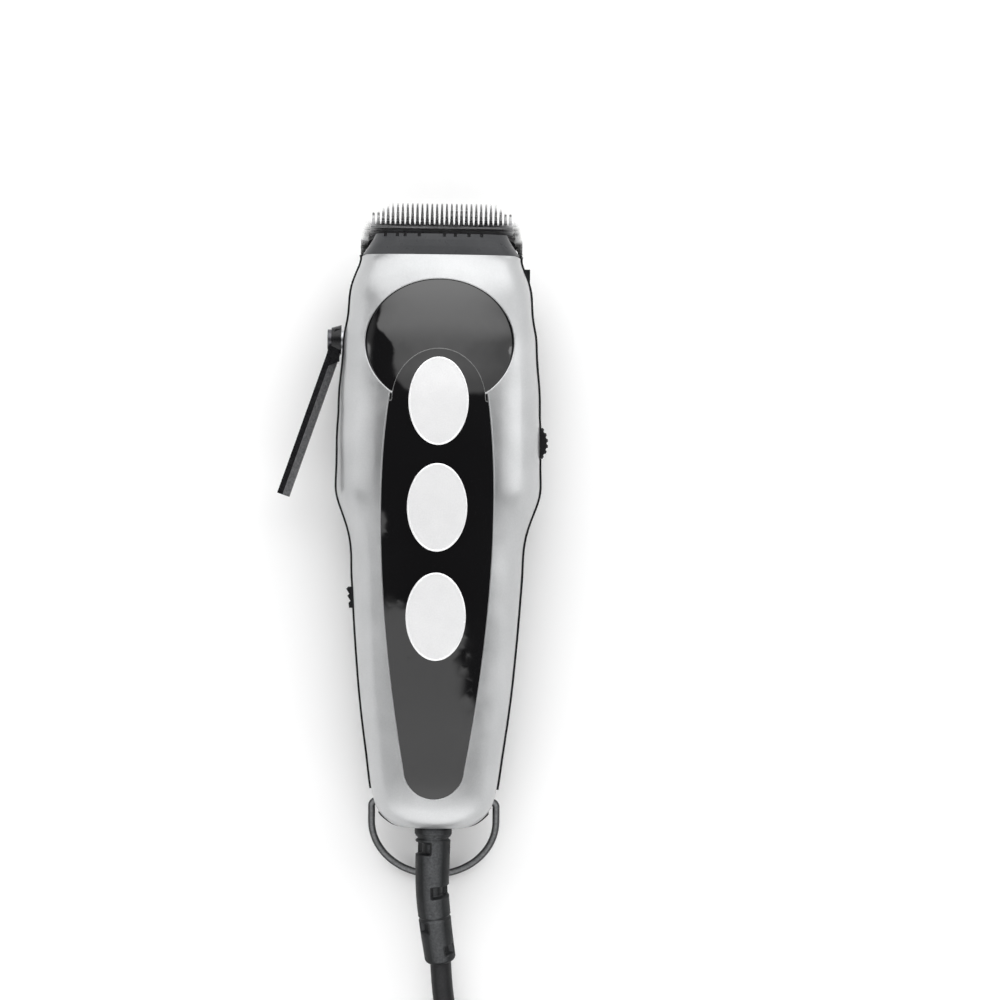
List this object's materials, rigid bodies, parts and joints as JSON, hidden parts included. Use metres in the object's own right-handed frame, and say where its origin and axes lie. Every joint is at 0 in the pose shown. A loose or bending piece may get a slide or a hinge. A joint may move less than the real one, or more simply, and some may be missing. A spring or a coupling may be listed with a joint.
{
  "type": "hair clipper",
  "caption": "Corded hair clipper with toothed blade set, taper lever, thumbwheel, slide switch, hanging loop and a coiled mains cord with plug; cuts hair.",
  "frame": {"origin": "centre of the flat back that the clipper lies on, on the housing's centre plane", "axes": "+Y along the housing to the blades, +Z out of the decorated front, +X to the right seen from the front"},
  "size_m": [0.1006, 0.3829, 0.0423],
  "materials": {
    "silver_paint": "metallic silver lacquer on plastic",
    "black_housing": "fine satin black plastic",
    "black_cap": "satin dark grey plastic",
    "gloss_black": "piano black",
    "silver_oval": "satin silver",
    "blade_steel": "ground and polished steel",
    "cutter_steel": "ground steel",
    "black_holder": "satin black plastic",
    "zinc_steel": "zinc plated",
    "screw_steel": "nickel plated",
    "spring_steel": "spring wire",
    "black_lever": "black enamel",
    "dark_screw": "blackened",
    "laminations": "stacked sheet",
    "white_nylon": "natural nylon",
    "copper_wire": "enamelled copper",
    "black_knob": "satin black plastic",
    "loop_wire": "dark grey coated wire",
    "relief_rubber": "moulded rubber",
    "cord_sheath": "soft black sheath",
    "plug_rubber": "moulded",
    "pin_metal": "nickel plated brass",
    "blue_lead": "insulation",
    "brown_lead": "insulation"
  },
  "bodies": {
    "housing": {"front_shell": "silver_paint", "rear_shell": "black_housing", "head_cap": "black_cap", "inlay_panel": "gloss_black", "oval_insert_1": "silver_oval", "oval_insert_2": "silver_oval", "oval_insert_3": "silver_oval", "cutter_spring": "spring_steel", "spring_saddle": "zinc_steel", "stator_core": "laminations", "coil_bobbin": "white_nylon", "coil_winding": "copper_wire", "motor_pillars": "black_housing", "motor_screws": "screw_steel", "pivot_pin": "screw_steel", "return_spring_left": "spring_steel", "return_spring_right": "spring_steel", "return_bracket_left": "black_housing", "return_bracket_right": "black_housing", "wheel_axle": "screw_steel", "switch_case": "black_housing", "strain_relief": "relief_rubber", "cord_core": "cord_sheath", "cord": "cord_sheath", "cord_coil": "cord_sheath", "cord_tail": "cord_sheath", "plug_body": "plug_rubber", "plug_pin_1": "pin_metal", "plug_pin_2": "pin_metal", "cord_inside": "cord_sheath", "cord_clamp": "black_housing", "clamp_screws": "screw_steel", "lead_to_switch": "blue_lead", "lead_to_coil": "brown_lead", "housing_screws": "dark_screw"},
    "blade": {"fixed_blade": "blade_steel", "blade_carrier": "zinc_steel", "carrier_washers": "zinc_steel", "blade_screws": "screw_steel"},
    "cutter": {"moving_cutter": "cutter_steel", "cutter_holder": "black_holder"},
    "lever": {"taper_lever": "black_lever", "lever_shaft": "zinc_steel", "lever_screw": "dark_screw"},
    "arm": {"drive_arm": "white_nylon", "armature": "laminations"},
    "wheel": {"power_wheel": "black_knob"},
    "switch": {"switch_knob": "black_knob"},
    "loop": {"hanging_loop": "loop_wire"}
  },
  "joints": [
    {"name": "lever_turn", "type": "hinge", "parent": "housing", "child": "lever", "pos_m": [-0.0281, 0.0561, 0.014], "axis": [-1, 0, 0], "range_deg": [0, 45]},
    {"name": "blade_slide", "type": "slide", "parent": "housing", "child": "blade", "axis": [0, 0.9397, 0.342], "range_m": [-0.0023, 0]},
    {"name": "arm_swing", "type": "hinge", "parent": "housing", "child": "arm", "pos_m": [0.012, -0.03, 0.019], "axis": [0, 0, 1], "range_deg": [-0.62, 0.62], "stiffness_Nm_per_rad": 3, "deforming": ["return_spring_left", "return_spring_right"]},
    {"name": "cutter_slide", "type": "slide", "parent": "housing", "child": "cutter", "axis": [1, 0, 0], "range_m": [-0.00118, 0.00118]},
    {"name": "power_turn", "type": "hinge", "parent": "housing", "child": "wheel", "pos_m": [0.024, 0.0274, 0.018], "axis": [0, 0, 1], "range_deg": [-135, 135]},
    {"name": "switch_slide", "type": "slide", "parent": "housing", "child": "switch", "axis": [0, -1, 0], "range_m": [0, 0.0035]},
    {"name": "loop_swing", "type": "hinge", "parent": "housing", "child": "loop", "pos_m": [0, -0.0745, 0.013], "axis": [-1, 0, 0], "range_deg": [0, 16]}
  ],
  "couplings": [
    {"joint": "lever_turn", "follows": "blade_slide", "rad_per_m": -342.06},
    {"joint": "cutter_slide", "follows": "arm_swing", "m_per_rad": -0.1085}
  ]
}
